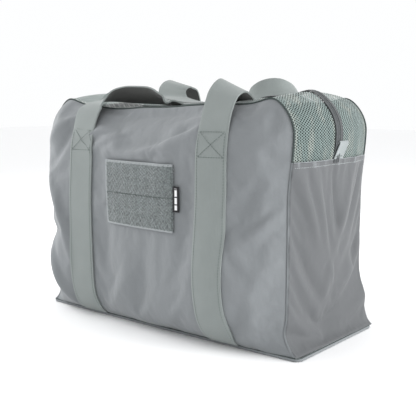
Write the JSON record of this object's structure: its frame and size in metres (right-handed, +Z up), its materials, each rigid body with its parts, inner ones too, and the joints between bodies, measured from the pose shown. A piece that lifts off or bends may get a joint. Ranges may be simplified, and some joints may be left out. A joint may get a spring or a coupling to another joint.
{
  "type": "pet carrier bag",
  "caption": "Soft-sided rectangular pet carrier bag with a see-through mesh top that zips open along the middle, webbing carry handles and a loop-tape patch on the front.",
  "frame": {"origin": "centre of the base on the ground", "axes": "+X to the right along the front, -Y out of the front face that carries the patch, +Z up"},
  "size_m": [0.524, 0.321, 0.4066],
  "materials": {
    "body_fabric": "smooth matte woven nylon",
    "webbing": "ribbed flat webbing",
    "mesh": "open knitted mesh",
    "zipper_tape": "herringbone woven tape",
    "zipper_coil": "nylon coil",
    "slider_metal": "black painted die cast",
    "tab_webbing": "light ribbed webbing",
    "loop_tape": "looped pile",
    "label_black": "woven satin tape",
    "seam_tape": "grosgrain binding",
    "stiff_board": "textured sheet"
  },
  "bodies": {
    "bag": {"front_panel": "body_fabric", "back_panel": "body_fabric", "left_end_panel": "body_fabric", "right_end_panel": "body_fabric", "base_panel": "body_fabric", "front_left_strap": "webbing", "front_right_strap": "webbing", "back_left_strap": "webbing", "back_right_strap": "webbing", "front_mesh_margin": "mesh", "back_mesh_margin": "mesh", "left_front_mesh_corner": "mesh", "left_back_mesh_corner": "mesh", "right_front_mesh_corner": "mesh", "right_back_mesh_corner": "mesh", "left_zipper_end_tape": "zipper_tape", "right_zipper_end_tape": "zipper_tape", "left_zipper_end_coil": "zipper_coil", "right_zipper_end_coil": "zipper_coil", "left_zipper_tab": "tab_webbing", "right_zipper_tab": "tab_webbing", "upper_loop_tape": "loop_tape", "lower_loop_tape": "loop_tape", "side_label": "label_black", "front_seam_tape": "seam_tape", "back_seam_tape": "seam_tape", "base_board": "stiff_board"},
    "front_flap": {"front_mesh_flap": "mesh", "front_zipper_tape": "zipper_tape", "front_zipper_coil": "zipper_coil"},
    "back_flap": {"back_mesh_flap": "mesh", "back_zipper_tape": "zipper_tape", "back_zipper_coil": "zipper_coil"},
    "left_slider": {"left_zipper_slider": "slider_metal"},
    "right_slider": {"right_zipper_slider": "slider_metal"},
    "left_pull": {"left_zipper_pull": "slider_metal"},
    "right_pull": {"right_zipper_pull": "slider_metal"},
    "front_loop": {"front_handle": "webbing"},
    "back_loop": {"back_handle": "webbing"}
  },
  "joints": [
    {"name": "front_handle_fold", "type": "hinge", "parent": "bag", "child": "front_loop", "pos_m": [0, -0.141, 0.333], "axis": [1, 0, 0], "range_deg": [0, 165]},
    {"name": "back_handle_fold", "type": "hinge", "parent": "bag", "child": "back_loop", "pos_m": [0, 0.141, 0.333], "axis": [-1, 0, 0], "range_deg": [0, 165]},
    {"name": "right_slider_travel", "type": "slide", "parent": "bag", "child": "right_slider", "axis": [1, 0, 0], "range_m": [0, 0.3]},
    {"name": "left_slider_travel", "type": "slide", "parent": "bag", "child": "left_slider", "axis": [-1, 0, 0], "range_m": [0, 0.03]},
    {"name": "front_flap_droop", "type": "hinge", "parent": "bag", "child": "front_flap", "pos_m": [0, -0.079, 0.363], "axis": [-1, 0, 0], "range_deg": [0, 80]},
    {"name": "back_flap_droop", "type": "hinge", "parent": "bag", "child": "back_flap", "pos_m": [0, 0.079, 0.363], "axis": [1, 0, 0], "range_deg": [0, 80]},
    {"name": "right_pull_swing", "type": "hinge", "parent": "right_slider", "child": "right_pull", "pos_m": [-0.134, 0, 0.3756], "axis": [0, -1, 0], "range_deg": [0, 100]},
    {"name": "left_pull_swing", "type": "hinge", "parent": "left_slider", "child": "left_pull", "pos_m": [-0.152, 0, 0.3756], "axis": [0, 1, 0], "range_deg": [0, 100]}
  ],
  "couplings": [
    {"joint": "front_flap_droop", "follows": "right_slider_travel", "rad_per_m": 4.65},
    {"joint": "back_flap_droop", "follows": "right_slider_travel", "rad_per_m": 4.65}
  ]
}
